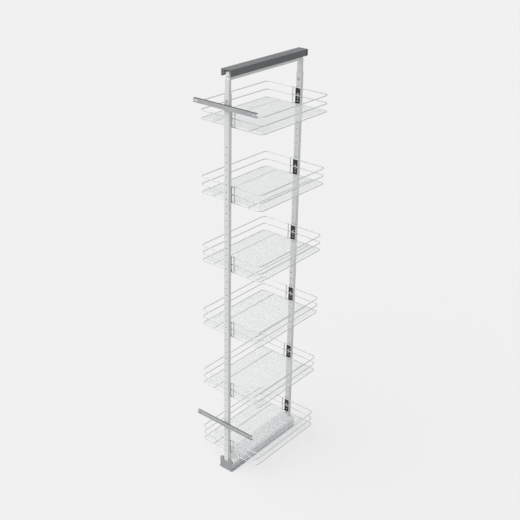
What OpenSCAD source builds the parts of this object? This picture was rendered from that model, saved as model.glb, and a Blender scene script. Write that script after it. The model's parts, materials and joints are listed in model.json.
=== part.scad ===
// Pull-out larder unit for a tall kitchen cabinet.
// A floor runner with three telescoping members carries a height-adjustable frame.
// Six wire baskets hang on moulded clips between the two uprights.
// The origin is on the floor, under the middle of the frame. The door is at -Y.

/* [Frame] */
// Depth of the frame over both uprights
frame_depth = 483; // [380:1:583]
// Width of an upright
upright_w = 26; // [24:0.5:34]
// Depth of an upright
upright_d = 18; // [16:0.5:26]
// Wall of an upright
upright_wall = 1.5; // [1.2:0.1:2.2]
// Outer corner radius of an upright
upright_corner = 2; // [1:0.1:2.5]
// Upright that stands above the top basket
headroom = 66; // [60:1:160]

/* [Hole row] */
// Distance from hole to hole
hole_pitch = 32; // [30:0.5:36]
// Height of the lowest hole above the floor
hole_first = 105; // [100:1:130]
// Diameter of a hole
hole_d = 5; // [4:0.1:7]
// Hole pitches from basket to basket
basket_step = 10; // [8:1:12]
// Extra height of the topmost basket
top_basket_lift = 4; // [2.5:0.5:10]

/* [Telescopic top] */
// Height of the cross bar's top above the uprights
bar_lift = 68; // [50:1:220]
// Wall of the bent tube
tube_wall = 1.5; // [1:0.1:2]
// Clearance all round between the bent tube and the uprights
tube_gap = 0.3; // [0.2:0.05:0.5]
// Outer bend radius at its two top corners
bend_r = 16; // [15.5:0.5:24]
// Length of leg inside an upright
leg_overlap = 150; // [140:1:400]
// Thread diameter of a locking screw
lock_screw_d = 5; // [4:0.5:6]
// Distance of the locking screws below the top of the uprights
lock_screw_drop = 29; // [20:1:35]

/* [Top rail] */
// Width of the top rail
rail_w = 50; // [44:1:64]
// Height of the top rail
rail_h = 28; // [26:1:40]
// Wall of the top rail
rail_wall = 1.5; // [1:0.1:2]
// Outer corner radius of the top rail
rail_corner = 2; // [1.8:0.1:3]
// Width of the lips that turn in at its foot
rail_lip = 4; // [3:0.5:6]
// Length of rail in front of the front upright
rail_overhang = 3.5; // [2:0.5:12]
// Length of rail behind the rear upright
rail_rear_overhang = 8; // [2:0.5:20]
// Clearance between the cross bar and the top rail
rail_gap = 2; // [1:0.5:4]
// Diameter of a fixing hole in the top rail
rail_hole_d = 4.5; // [3.5:0.5:6]
// Distance of a fixing hole from the end of the top rail
rail_hole_edge = 65; // [50:1:120]
// Length of the end cap at the rear of the top rail
end_cap_l = 10; // [6:1:16]
// Distance of a guide roller's middle from the outer face of the upright
roller_inset = 51.5; // [50:0.5:90]
// Diameter of a roller pin
roller_pin_d = 8; // [6:0.5:10]
// Play of a roller between the walls of the rail, on each side
roller_gap = 0.3; // [0.2:0.05:0.6]
// Thickness of a guide roller
roller_h = 8; // [6:0.5:10]
// Width of the block that holds a guide roller
block_w = 16; // [14:0.5:24]
// Height of the block that holds a guide roller
block_h = 18; // [17:0.5:24]
// Distance from the end of a block to the outer face of the upright
block_inset = 6.5; // [2:0.5:20]

/* [Baskets] */
// Width over the middle of the ring wires
basket_w = 332; // [250:1:532]
// Room between a ring wire's middle and the inner face of an upright
basket_room = 4.5; // [4.2:0.1:5.5]
// Corner radius of a basket
basket_corner = 20; // [14:1:40]
// Height of the middle ring above the bottom ring
ring_mid = 35.5; // [35:0.5:45]
// Height of the top ring above the bottom ring
ring_top = 71; // [70:1:110]
// Diameter of the ring wires
wire_d = 4; // [3:0.1:4]
// Distance of an upright hanger wire from the clip beside it
hanger_room = 11; // [8:1:60]
// Place of the long base wires, as a share of the width
base_wire_share = 0.29; // [0.2:0.01:0.35]
// Diameter of the mesh wires
mesh_wire_d = 1.4; // [1.2:0.1:2]
// Distance from mesh wire to mesh wire
mesh_pitch = 11; // [9:0.5:20]

/* [Clips] */
// Width of a clip
clip_w = 22; // [18:0.5:26]
// How far a clip stands out from the upright
clip_depth = 4.2; // [3.6:0.1:8]
// How far the foot of a clip stands out from the upright
clip_foot_depth = 8; // [8:0.5:12]
// Height of a clip's lower peg above the bottom ring
peg_z = 18; // [17:0.5:19]
// Width of the windows in a clip
clip_window_w = 13; // [8:0.5:15]
// Height of the windows in a clip
clip_window_h = 7.4; // [5:0.1:8]

/* [Door brackets] */
// How much shorter a door bracket is than a basket is wide
bracket_short = 1; // [0:1:60]
// Height of a door bracket
bracket_h = 18; // [14:0.5:22]
// Depth of a door bracket
bracket_d = 12; // [10:0.5:18]
// Wall of a door bracket
bracket_wall = 1.5; // [1.2:0.1:2]
// Outer corner radius of a door bracket
bracket_corner = 2; // [1.8:0.1:3]
// Gap between a door bracket and the front upright
bracket_gap = 3; // [2:0.5:6]
// Distance of the upper door bracket below the top of the uprights
upper_bracket_drop = 52.5; // [45:0.5:60]
// Height of the lower door bracket above the lowest hole
lower_bracket_rise = 157; // [96:0.5:220]
// Distance of a door slot from the end of the bracket
slot_edge = 15.5; // [13:0.5:60]
// Length of a door slot
slot_l = 14; // [10:0.5:18]
// Width of a door slot
slot_w = 6; // [4:0.5:7]
// Radius of the notch in each end of a door bracket
end_notch_r = 3.5; // [2:0.5:5]
// Width of the block behind a door bracket
holder_w = 40; // [30:1:80]

/* [Floor runner] */
// Length of floor rail past each upright
floor_overhang = 4.5; // [4:0.5:20]
// Thickness of the floor rail's plate
floor_plate_t = 2.5; // [2:0.1:4]
// Width of the plate beside the races, for the fixing screws
floor_flange = 7.5; // [7:0.5:16]
// Diameter of a fixing hole in the floor rail
floor_hole_d = 4.5; // [3.5:0.1:5]
// Distance of a fixing hole from the end of the floor rail
floor_hole_edge = 46; // [20:1:120]
// Diameter of the balls
ball_d = 8; // [7:0.5:9]
// Distance of the ball rows from the middle
ball_x = 27; // [25:0.5:32]
// Balls in a row
balls_per_row = 7; // [5:1:9]
// Length of a ball cage, as a share of the frame's depth
cage_share = 0.53; // [0.4:0.01:0.56]
// Clearance between a ball and its race
ball_gap = 0.3; // [0.1:0.05:0.4]
// Thickness of a ball cage
cage_t = 1.4; // [1:0.1:1.6]
// Thickness of the strip that the races are rolled from
strip_t = 2.2; // [1.6:0.1:2.6]
// Thickness of the top member's web
runner_web = 3; // [2:0.1:4]

/* [Base of the frame] */
// Thickness of the bottom bar
bottom_bar_t = 5; // [4:0.5:8]
// Width of the bottom bar
bottom_bar_w = 50; // [44:1:60]
// Width by which the cover is narrower than the floor rail
cover_inset = 1; // [0:0.5:4]
// Depth of the cover's side flanges
cover_h = 18; // [14:0.5:22]
// Thickness of the cover
cover_t = 1.2; // [0.8:0.1:2]
// Outer edge radius of the cover
cover_corner = 3; // [2.2:0.1:5]
// Thickness of the front plate
front_plate_t = 2; // [1.5:0.1:3]
// Radius of the two lugs on the front plate
lug_r = 10; // [7:0.5:12]
// Depth of the lugs behind the plate
lug_depth = 6; // [3:0.5:12]
// Height of the blocks inside the feet of the uprights
foot_h = 34; // [30:1:40]

/* [Hidden] */
$fn = 48;
// Gaps and overlaps that several pieces share
seat_gap = 0.3;
pin_play = 0.05;
weld = 0.4;
through = 1;

// Places along the depth of the frame
face_y = frame_depth / 2;
inner_y = face_y - upright_d;
wire_y = inner_y - basket_room;
front_face_y = -face_y;

// Floor runner, from the floor up: lower races, then upper races
race_r = ball_d / 2 + ball_gap;
race_side = 1.4;
race_in = ball_x - race_side;
race_out = ball_x + race_side;
bulge_r = race_r + strip_t;
wall_out = ball_x + bulge_r;
strip_out = race_out + strip_t;
race_land = 2;
race_half_h = bulge_r + race_land + 0.5;
cage_web_gap = 1.1;
middle_foot_gap = 1.5;
middle_foot = floor_plate_t + cage_web_gap + cage_t + middle_foot_gap;
lower_ball_z = middle_foot + bulge_r + race_land;
lower_wall_top = lower_ball_z + race_half_h;
runner_split = 2;
upper_wall_foot = lower_wall_top + runner_split;
upper_ball_z = upper_wall_foot + bulge_r + race_land - 0.5;
middle_top = upper_ball_z + bulge_r + race_land;
upper_cage_gap = 1.3;
top_web_z = middle_top + 2 * upper_cage_gap + cage_t;
runner_top = top_web_z + runner_web;
cage_side_gap = 2;
cage_end = 13;
cage_l = frame_depth * cage_share;
ball_pitch = (cage_l - 2 * cage_end) / (balls_per_row - 1);
row_half = (cage_l - 2 * cage_end) / 2;
floor_rail_w = 2 * (wall_out + floor_flange);
floor_rail_l = frame_depth + 2 * floor_overhang;
floor_hole_x = (wall_out + floor_rail_w / 2) / 2;
floor_hole_y = floor_rail_l / 2 - floor_hole_edge;
front_play = 1;
stop_gap = 0.3;
stop_h = lower_wall_top - floor_plate_t - cage_side_gap;

// Base of the frame
bar_z = runner_top;
bar_face = bar_z + bottom_bar_t;
bar_screw_d = 5;
bar_screw_head = 2.1 * bar_screw_d;
bar_screw_head_h = bar_screw_d / 2;
bar_screw_sink = 0.1;
bar_screw_top = bar_face - bar_screw_sink;
bar_screw_pitch = 0.207 * frame_depth;
cover_w = floor_rail_w - cover_inset;
cover_z = bar_face + seat_gap;
cover_top = cover_z + cover_t;
cover_slope = 14;
notch_gap = 0.5;
plate_gap = 1.5;
plate_side = wall_out;
plate_top_gap = 3;
lug_gap = 1;
lug_x = upright_w / 2 + lug_gap + lug_r;
lug_rise = 8;
lug_top = bar_face + lug_rise;
lug_step = 0.5;
lug_foot = lug_top - 2 * lug_r - 1;
foot_screw_d = 5;
foot_screw_l = 10;
foot_screw_z = bar_face + 22;
foot_w = upright_w - 2 * upright_wall - 2 * seat_gap;
foot_d = upright_d - 2 * upright_wall - 2 * seat_gap;

// Basket heights: each basket's pegs sit in two neighbouring holes
basket_count = 6;
function hole_z(i) = hole_first + i * hole_pitch;
function is_top_basket(i) = i == basket_count - 1;
function basket_z(i) =
    hole_z(i * basket_step) - peg_z + (is_top_basket(i) ? top_basket_lift : 0);
hole_count = (basket_count - 1) * basket_step - 2;

// Uprights and bent tube
upright_top = basket_z(basket_count - 1) + ring_top + headroom;
bar_top = upright_top + bar_lift;
tube_w = upright_w - 2 * upright_wall - 2 * tube_gap;
tube_d = upright_d - 2 * upright_wall - 2 * tube_gap;
tube_y = face_y - upright_wall - tube_gap - tube_d / 2;
tube_corner = 1.2;
tube_center_bend = bend_r - tube_d / 2;

// Top rail and guide rollers
rail_z = bar_top + rail_gap;
rail_top = rail_z + rail_h;
rail_l = frame_depth + rail_overhang + rail_rear_overhang;
rail_mid_y = (rail_rear_overhang - rail_overhang) / 2;
rail_rear_y = face_y + rail_rear_overhang;
rail_inner = rail_w / 2 - rail_wall;
rail_inner_corner = rail_corner - rail_wall;
rail_hole_y = face_y + rail_overhang - rail_hole_edge;
end_cap_t = 3;
roller_y = face_y - roller_inset;
roller_r = rail_inner - roller_gap;
roller_lift = 2;
roller_z = rail_z + rail_wall + roller_lift;
roller_rim = roller_h / 3;
roller_waist = 2;
roller_edge = 1;
fork_play = 0.5;
fork_room = 2;
block_top = bar_top + block_h;
block_half = roller_inset - block_inset;
pin_head_d = roller_pin_d + 6;
pin_head_h = 2;
pin_neck = 0.5;

// Door brackets
bracket_l = basket_w - bracket_short;
slot_x = bracket_l / 2 - slot_edge;
upper_bracket_z = upright_top - upper_bracket_drop;
lower_bracket_z = hole_first + lower_bracket_rise;
bracket_back_y = front_face_y - bracket_gap;
bracket_face_y = bracket_back_y - bracket_d;
bracket_screw_d = 4;
bracket_screw_x = 7.5;
bracket_screw_head = bracket_screw_d + 2 * bracket_wall;
bracket_screw_sink = 0.1;

// Baskets
base_wire_d = 0.85 * wire_d;
base_wire_x = base_wire_share * basket_w;
hanger_x = clip_w / 2 + hanger_room;
layer_gap = 0.05;
mesh_end_gap = 5.5;

// Clips
clip_plate = 2;
clip_foot_t = 2.6;
clip_foot_gap = 0.4;
clip_mid_gap = 2.3;
clip_corner_cut = 3;
peg_play = 0.2;
peg_d = hole_d - 2 * peg_play;
peg_land = 0.4;

// ---------- shared shapes ----------

// A rectangle with round corners, centred
module round_rect(w, d, r) {
    square([w - 2 * r, d], center = true);
    square([w, d - 2 * r], center = true);
    for (x = [-1, 1], y = [-1, 1])
        translate([x * (w / 2 - r), y * (d / 2 - r)])
            circle(r);
}

// The section of a rectangular tube
module tube_section(w, d, wall, r) {
    difference() {
        round_rect(w, d, r);
        square([w - 2 * wall, d - 2 * wall], center = true);
    }
}

// The section of a folded channel: its web's face lies on the Y axis and it opens to +X
module channel_section(depth, width, wall, r) {
    difference() {
        union() {
            translate([r, -width / 2])
                square([depth - r, width]);
            translate([0, r - width / 2])
                square([2 * r, width - 2 * r]);
            for (y = [-1, 1])
                translate([r, y * (width / 2 - r)])
                    circle(r);
        }
        translate([wall, wall - width / 2])
            square([depth, width - 2 * wall]);
    }
}

// A section in X and Z drawn out along Y, centred on the frame's middle
module along_y(length) {
    rotate([90, 0, 0])
        linear_extrude(height = length, center = true)
            children();
}

// A section in Y and Z drawn out along X, centred
module along_x(length) {
    rotate([90, 0, 90])
        linear_extrude(height = length, center = true)
            children();
}

// A cylinder along Y from y to y + length
module rod_y(d, length) {
    rotate([-90, 0, 0])
        cylinder(d = d, h = length);
}

// A cylinder along X, centred
module rod_x(d, length) {
    rotate([0, 90, 0])
        cylinder(d = d, h = length, center = true);
}

// A screw with a pan head; the head points along -Y and its seat is at y = 0
module screw_y(d, length) {
    head_d = 1.7 * d;
    head_h = 0.55 * d;
    rod_y(d, length);
    translate([0, -head_h, 0])
        rod_y(head_d, head_h);
}

// A slot along X through a wall, centred, cut along Y
module slot_y(length, width, depth) {
    for (x = [-1, 1])
        translate([x * (length - width) / 2, -depth / 2, 0])
            rod_y(width, depth);
    cube([length - width, depth, width], center = true);
}

// ---------- floor runner ----------

// Rolled walls on both sides, each swollen round the ball groove pressed into it
module race_walls(z0, z1, groove_z) {
    for (side = [-1, 1])
        difference() {
            union() {
                translate([side > 0 ? race_out : -strip_out, z0])
                    square([strip_t, z1 - z0]);
                intersection() {
                    translate([side * ball_x, groove_z])
                        circle(bulge_r);
                    translate([side > 0 ? race_out : -race_out - bulge_r - through, groove_z - bulge_r])
                        square([bulge_r + through, 2 * bulge_r]);
                }
            }
            translate([side * ball_x, groove_z])
                circle(race_r);
        }
}

module floor_rail() {
    wall_l = floor_rail_l / 2 + face_y - front_play;
    color("silver")
        difference() {
            union() {
                along_y(floor_rail_l)
                    translate([-floor_rail_w / 2, 0])
                        square([floor_rail_w, floor_plate_t]);
                translate([0, (floor_rail_l - wall_l) / 2, 0])
                    along_y(wall_l)
                        race_walls(floor_plate_t - weld, lower_wall_top, lower_ball_z);
            }
            for (x = [-1, 1], y = [-1, 1])
                translate([x * floor_hole_x, y * floor_hole_y, -through])
                    cylinder(d = floor_hole_d, h = floor_plate_t + 2 * through);
        }
}

// Plastic buffer behind the middle member, between the rail's walls
module rear_stop() {
    color("black")
        translate([-race_out + seat_gap, face_y + stop_gap, floor_plate_t])
            cube([2 * (race_out - seat_gap), floor_overhang - stop_gap, stop_h]);
}

// A cage is a folded strip with round pockets: a web, then two sides
module cage(web_z, side_z0, side_z1, ball_z) {
    difference() {
        along_y(cage_l) {
            translate([-ball_x - cage_t / 2, web_z])
                square([2 * ball_x + cage_t, cage_t]);
            for (side = [-1, 1])
                translate([side * ball_x - cage_t / 2, side_z0])
                    square([cage_t, side_z1 - side_z0]);
        }
        for (i = [0:balls_per_row - 1], side = [-1, 1])
            translate([side * ball_x, i * ball_pitch - row_half, ball_z])
                rod_x(ball_d + 2 * ball_gap, 4 * cage_t);
    }
}

module balls(ball_z) {
    for (i = [0:balls_per_row - 1], side = [-1, 1])
        translate([side * ball_x, i * ball_pitch - row_half, ball_z])
            sphere(d = ball_d);
}

module lower_cage() {
    web_z = floor_plate_t + cage_web_gap;
    color("dimgray")
        cage(web_z, web_z, lower_wall_top - cage_side_gap, lower_ball_z);
}

module lower_balls() {
    color("lightgray")
        balls(lower_ball_z);
}

// Closed box of rolled strip with a groove for each ball row
module middle_runner() {
    inner = race_in - strip_t;
    inner_h = middle_top - middle_foot - 2 * strip_t;
    color("silver")
        along_y(frame_depth)
            difference() {
                union() {
                    difference() {
                        translate([-race_in, middle_foot])
                            square([2 * race_in, middle_top - middle_foot]);
                        translate([-inner, middle_foot + strip_t])
                            square([2 * inner, inner_h]);
                    }
                    for (side = [-1, 1], z = [lower_ball_z, upper_ball_z])
                        intersection() {
                            translate([side * ball_x, z])
                                circle(bulge_r);
                            translate([-race_in, z - bulge_r])
                                square([2 * race_in, 2 * bulge_r]);
                        }
                }
                for (side = [-1, 1], z = [lower_ball_z, upper_ball_z])
                    translate([side * ball_x, z])
                        circle(race_r);
            }
}

module upper_cage() {
    web_z = middle_top + upper_cage_gap;
    color("dimgray")
        cage(web_z, upper_wall_foot + cage_side_gap, web_z + cage_t, upper_ball_z);
}

module upper_balls() {
    color("lightgray")
        balls(upper_ball_z);
}

module top_runner() {
    color("silver")
        difference() {
            along_y(frame_depth) {
                race_walls(upper_wall_foot, top_web_z + weld, upper_ball_z);
                translate([-strip_out, top_web_z])
                    square([2 * strip_out, runner_web]);
            }
            bar_screw_places()
                translate([0, 0, top_web_z - through])
                    cylinder(d = bar_screw_d + 2 * pin_play, h = runner_web + 2 * through);
        }
}

// ---------- base of the frame ----------

module bar_screw_places() {
    for (k = [-1.5:1:1.5])
        translate([0, k * bar_screw_pitch, 0])
            children();
}

module bottom_bar() {
    color("gainsboro")
        difference() {
            translate([-bottom_bar_w / 2, -face_y, bar_z])
                cube([bottom_bar_w, frame_depth, bottom_bar_t]);
            bar_screw_places() {
                translate([0, 0, bar_z - through])
                    cylinder(d = bar_screw_d + 2 * pin_play, h = bottom_bar_t + 2 * through);
                translate([0, 0, bar_screw_top - bar_screw_head_h])
                    cylinder(d1 = bar_screw_d + 2 * pin_play, d2 = bar_screw_head + 2 * pin_play,
                             h = bar_screw_head_h + 0.01);
                translate([0, 0, bar_screw_top])
                    cylinder(d = bar_screw_head + 2 * pin_play, h = bar_screw_sink + through);
            }
        }
}

// Countersunk screws that hold the bar down on the top member
module bar_screws() {
    color("lightgray")
        bar_screw_places()
            rotate_extrude()
                polygon([
                    [0, top_web_z],
                    [bar_screw_d / 2, top_web_z],
                    [bar_screw_d / 2, bar_screw_top - bar_screw_head_h],
                    [bar_screw_head / 2, bar_screw_top],
                    [0, bar_screw_top]
                ]);
}

// Cast plate over the front of the runner; its round lugs stand beside the upright
module front_plate() {
    low = floor_plate_t + plate_gap;
    lug_mid = lug_top - lug_r;
    color("darkgray") {
        translate([0, front_face_y - front_plate_t / 2, 0])
            along_y(front_plate_t) {
                translate([-plate_side, low])
                    square([2 * plate_side, bar_z - plate_top_gap - low]);
                for (side = [-1, 1]) {
                    translate([side * lug_x - lug_r, lug_foot])
                        square([2 * lug_r, lug_mid - lug_foot]);
                    translate([side * lug_x, lug_mid])
                        circle(lug_r);
                }
            }
        for (side = [-1, 1])
            difference() {
                translate([side * lug_x, front_face_y - front_plate_t / 2, lug_mid])
                    rod_y(2 * (lug_r - lug_step), lug_depth + front_plate_t / 2);
                translate([side * lug_x - lug_r, front_face_y, bar_face - 2 * lug_r])
                    cube([2 * lug_r, lug_depth + through, 2 * lug_r]);
            }
    }
}

// Shallow white cover: an upside-down tray with sloped rear ends, cut out round the uprights
module runner_cover() {
    front = front_face_y + lug_depth + notch_gap;
    color("white")
        difference() {
            translate([0, (face_y + front) / 2, cover_top])
                along_y(face_y - front)
                    rotate(-90)
                        channel_section(cover_h, cover_w, cover_t, cover_corner);
            along_x(cover_w + 2 * through)
                polygon([
                    [face_y - cover_slope, cover_top - cover_h - through],
                    [face_y - cover_slope, cover_top - cover_h],
                    [face_y, cover_top - cover_t],
                    [face_y + through, cover_top - cover_t],
                    [face_y + through, cover_top - cover_h - through]
                ]);
            for (y = [front_face_y - through, inner_y - notch_gap])
                translate([-upright_w / 2 - notch_gap, y, cover_z - through])
                    cube([upright_w + 2 * notch_gap, upright_d + through + notch_gap,
                          cover_t + 2 * through]);
        }
}

// Block inside the foot of an upright; side is -1 at the front and 1 at the rear
module foot(side) {
    color("silver")
        difference() {
            translate([-foot_w / 2, side * (face_y - upright_d / 2) - foot_d / 2, bar_face])
                cube([foot_w, foot_d, foot_h]);
            translate([0, side * inner_y, foot_screw_z])
                rotate([0, 0, side > 0 ? 0 : 180])
                    rod_y(foot_screw_d + 2 * pin_play, foot_screw_l + 2);
        }
}

module front_foot() {
    foot(-1);
}

module rear_foot() {
    foot(1);
}

// One screw through the inner wall of each upright into its foot block
module foot_screws() {
    color("lightgray") {
        translate([0, -inner_y, foot_screw_z])
            rotate([0, 0, 180])
                screw_y(foot_screw_d, foot_screw_l);
        translate([0, inner_y, foot_screw_z])
            screw_y(foot_screw_d, foot_screw_l);
    }
}

// ---------- uprights ----------

// side is -1 at the front and 1 at the rear
module upright(side) {
    mid_y = side * (face_y - upright_d / 2);
    outside_y = mid_y - upright_d / 2 - through;
    wall_cut = upright_wall + 2 * through;
    inner_wall_y = side > 0 ? outside_y : -inner_y - upright_wall - through;
    color("gainsboro")
        difference() {
            translate([0, mid_y, bar_face])
                linear_extrude(height = upright_top - bar_face)
                    tube_section(upright_w, upright_d, upright_wall, upright_corner);
            for (i = [0:hole_count - 1])
                translate([0, outside_y, hole_z(i)])
                    rod_y(hole_d, upright_d + 2 * through);
            for (j = [0, 1])
                translate([0, inner_wall_y, basket_z(basket_count - 1) + peg_z + j * hole_pitch])
                    rod_y(hole_d, wall_cut);
            translate([0, outside_y, upright_top - lock_screw_drop])
                rod_y(lock_screw_d + 2 * pin_play, wall_cut);
            translate([0, inner_wall_y, foot_screw_z])
                rod_y(foot_screw_d + 2 * pin_play, wall_cut);
            if (side < 0)
                for (z = [upper_bracket_z, lower_bracket_z], x = [-1, 1])
                    translate([x * bracket_screw_x, outside_y, z])
                        rod_y(bracket_screw_d + 2 * pin_play, wall_cut);
        }
}

module front_upright() {
    upright(-1);
}

module rear_upright() {
    upright(1);
}

// Screws that clamp the legs of the bent tube, on the front face of each upright
module lock_screws() {
    color("gray")
        for (y = [front_face_y, inner_y])
            translate([0, y, upright_top - lock_screw_drop])
                screw_y(lock_screw_d, upright_wall);
}

// ---------- telescopic top ----------

module upper_frame() {
    leg_foot = upright_top - leg_overlap;
    bend_y = tube_y - tube_center_bend;
    bend_z = bar_top - tube_d / 2 - tube_center_bend;
    color("gainsboro")
        difference() {
            union() {
                for (side = [-1, 1]) {
                    translate([0, side * tube_y, leg_foot])
                        linear_extrude(height = bend_z - leg_foot)
                            tube_section(tube_w, tube_d, tube_wall, tube_corner);
                    translate([0, side * bend_y, bend_z])
                        rotate([0, 0, side > 0 ? 90 : -90])
                            rotate([90, 0, 0])
                                rotate_extrude(angle = 90)
                                    translate([tube_center_bend, 0])
                                        rotate([0, 0, 90])
                                            tube_section(tube_w, tube_d, tube_wall, tube_corner);
                }
                translate([0, 0, bar_top - tube_d / 2])
                    along_y(2 * bend_y)
                        tube_section(tube_w, tube_d, tube_wall, tube_corner);
            }
            for (side = [-1, 1])
                translate([0, side * roller_y, bar_top - tube_wall - through])
                    cylinder(d = roller_pin_d - 2 * pin_neck + 2 * pin_play,
                             h = tube_wall + 2 * through);
        }
}

// ---------- top rail and guide rollers ----------

// A channel with round corners that opens downwards between two lips
module rail_section() {
    lip_in = rail_inner - rail_lip;
    translate([0, rail_z + rail_h / 2])
        difference() {
            round_rect(rail_w, rail_h, rail_corner);
            round_rect(2 * rail_inner, rail_h - 2 * rail_wall, rail_inner_corner);
            translate([-lip_in, -rail_h / 2 - through])
                square([2 * lip_in, rail_wall + 2 * through]);
        }
}

module top_rail() {
    color("dimgray")
        difference() {
            translate([0, rail_mid_y - end_cap_l / 2, 0])
                along_y(rail_l - end_cap_l)
                    rail_section();
            for (side = [-1, 1])
                translate([0, side * rail_hole_y, rail_top - rail_wall - through])
                    cylinder(d = rail_hole_d, h = rail_wall + 2 * through);
        }
}

// Plastic cap that carries the rail's section on and closes its rear end
module rail_end_cap() {
    cap_tube = end_cap_l - end_cap_t;
    color("black") {
        translate([0, rail_rear_y - end_cap_t - cap_tube / 2, 0])
            along_y(cap_tube)
                rail_section();
        translate([0, rail_rear_y - end_cap_t / 2, rail_z + rail_h / 2])
            along_y(end_cap_t)
                round_rect(rail_w, rail_h, rail_corner);
    }
}

// Roller with two rims, a waist and a bore; side is -1 at the front and 1 at the rear
module guide_roller(side) {
    waist_r = roller_r - roller_waist;
    edge_r = roller_r - roller_edge;
    bore_r = roller_pin_d / 2 + pin_play;
    color("whitesmoke")
        translate([0, side * roller_y, roller_z])
            rotate_extrude()
                polygon([
                    [bore_r, 0], [edge_r, 0],
                    [roller_r, roller_edge], [roller_r, roller_rim],
                    [waist_r, roller_rim + roller_edge],
                    [waist_r, 2 * roller_rim - roller_edge],
                    [roller_r, 2 * roller_rim], [roller_r, roller_h - roller_edge],
                    [edge_r, roller_h], [bore_r, roller_h]
                ]);
}

module front_roller() {
    guide_roller(-1);
}

module rear_roller() {
    guide_roller(1);
}

// Moulded fork on the cross bar; a roller turns in its slot
module guide_block(side) {
    slot_l = 2 * (roller_r + fork_room);
    color("white")
        translate([0, side * roller_y, 0])
            difference() {
                translate([-block_w / 2, -block_half, bar_top])
                    cube([block_w, 2 * block_half, block_h]);
                translate([-block_w / 2 - through, -slot_l / 2, roller_z - fork_play])
                    cube([block_w + 2 * through, slot_l, roller_h + 2 * fork_play]);
                translate([0, 0, bar_top - through])
                    cylinder(d = roller_pin_d + 2 * pin_play, h = block_h + 2 * through);
            }
}

module front_guide_block() {
    guide_block(-1);
}

module rear_guide_block() {
    guide_block(1);
}

// Headed pins riveted into the cross bar, through fork and roller
module roller_pins() {
    neck_r = roller_pin_d / 2 - pin_neck;
    color("lightgray")
        for (side = [-1, 1])
            translate([0, side * roller_y, 0])
                rotate_extrude()
                    polygon([
                        [0, bar_top - tube_wall],
                        [neck_r, bar_top - tube_wall],
                        [neck_r, bar_top],
                        [roller_pin_d / 2, bar_top],
                        [roller_pin_d / 2, block_top],
                        [pin_head_d / 2, block_top],
                        [pin_head_d / 2, block_top + pin_head_h],
                        [0, block_top + pin_head_h]
                    ]);
}

// ---------- door brackets ----------

// Folded channel with its web to the door, a slot near each end and a notch in each end
module door_bracket(z) {
    screw_hole = bracket_screw_d + 2 * pin_play;
    color("silver")
        difference() {
            translate([0, bracket_face_y, z])
                along_x(bracket_l)
                    channel_section(bracket_d, bracket_h, bracket_wall, bracket_corner);
            for (x = [-1, 1]) {
                translate([x * slot_x, bracket_face_y, z])
                    slot_y(slot_l, slot_w, 4 * bracket_wall);
                translate([x * bracket_l / 2, bracket_face_y - through, z])
                    rod_y(2 * end_notch_r, bracket_wall + 2 * through);
                translate([x * bracket_screw_x, bracket_face_y - 0.01, z])
                    rotate([-90, 0, 0])
                        cylinder(d1 = bracket_screw_head + 2 * pin_play, d2 = screw_hole,
                                 h = bracket_wall + 0.02);
            }
        }
}

module upper_door_bracket() {
    door_bracket(upper_bracket_z);
}

module lower_door_bracket() {
    door_bracket(lower_bracket_z);
}

// Moulded block between the bracket and the upright
module bracket_holder(z) {
    holder_h = bracket_h - 2 * bracket_wall - 2 * seat_gap;
    holder_y = bracket_face_y + bracket_wall;
    holder_d = front_face_y - holder_y;
    color("gray")
        difference() {
            translate([-holder_w / 2, holder_y, z - holder_h / 2])
                cube([holder_w, holder_d, holder_h]);
            for (x = [-1, 1])
                translate([x * bracket_screw_x, holder_y - through, z])
                    rod_y(bracket_screw_d + 2 * pin_play, holder_d + 2 * through);
        }
}

module upper_bracket_holder() {
    bracket_holder(upper_bracket_z);
}

module lower_bracket_holder() {
    bracket_holder(lower_bracket_z);
}

// Two flush screws a bracket, through the holder into the upright's front wall
module bracket_screws() {
    screw_l = bracket_d + bracket_gap + upright_wall;
    head_r = bracket_screw_head / 2 - bracket_screw_sink;
    color("lightgray")
        for (z = [upper_bracket_z, lower_bracket_z], x = [-1, 1])
            translate([x * bracket_screw_x, bracket_face_y, z])
                rotate([-90, 0, 0])
                    rotate_extrude()
                        polygon([
                            [0, bracket_screw_sink],
                            [head_r, bracket_screw_sink],
                            [bracket_screw_d / 2, bracket_wall],
                            [bracket_screw_d / 2, screw_l],
                            [0, screw_l]
                        ]);
}

// ---------- clips ----------

// Local frame: y = 0 on the upright's inner face, z = 0 at the bottom ring's middle
module clip_shape() {
    wire_r = wire_d / 2;
    foot_z = wire_r + clip_foot_gap;
    low_top = ring_mid - wire_r - seat_gap;
    high_foot = ring_mid + clip_mid_gap;
    high_top = ring_top - wire_r - seat_gap + 1;
    high_peg_z = peg_z + hole_pitch;
    window_lift = (peg_d + clip_window_h) / 2 + peg_land;
    high_window_top = high_peg_z - peg_d / 2 - peg_land;
    difference() {
        union() {
            translate([-clip_w / 2, 0, foot_z])
                cube([clip_w, clip_plate, high_top - foot_z]);
            translate([-clip_w / 2, 0, foot_z])
                cube([clip_w, clip_depth, low_top - foot_z]);
            translate([-clip_w / 2, 0, high_foot])
                cube([clip_w, clip_depth, high_top - high_foot]);
            translate([-clip_w / 2, 0, foot_z])
                cube([clip_w, clip_foot_depth, clip_foot_t]);
            for (z = [peg_z, high_peg_z])
                translate([0, -upright_wall, z])
                    rod_y(peg_d, upright_wall + weld);
        }
        for (z = [peg_z - window_lift, peg_z + window_lift])
            translate([-clip_window_w / 2, -through, z - clip_window_h / 2])
                cube([clip_window_w, clip_foot_depth + 2 * through, clip_window_h]);
        translate([-clip_window_w / 2, -through, low_top])
            cube([clip_window_w, clip_foot_depth, high_window_top - low_top]);
        translate([0, basket_room, ring_top])
            rod_x(wire_d + 2 * seat_gap, clip_w + 2 * through);
        for (x = [-1, 1])
            translate([x * clip_w / 2, clip_depth / 2 + clip_plate, high_top])
                rotate([0, 45, 0])
                    cube([clip_corner_cut, clip_depth, clip_corner_cut], center = true);
    }
}

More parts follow.
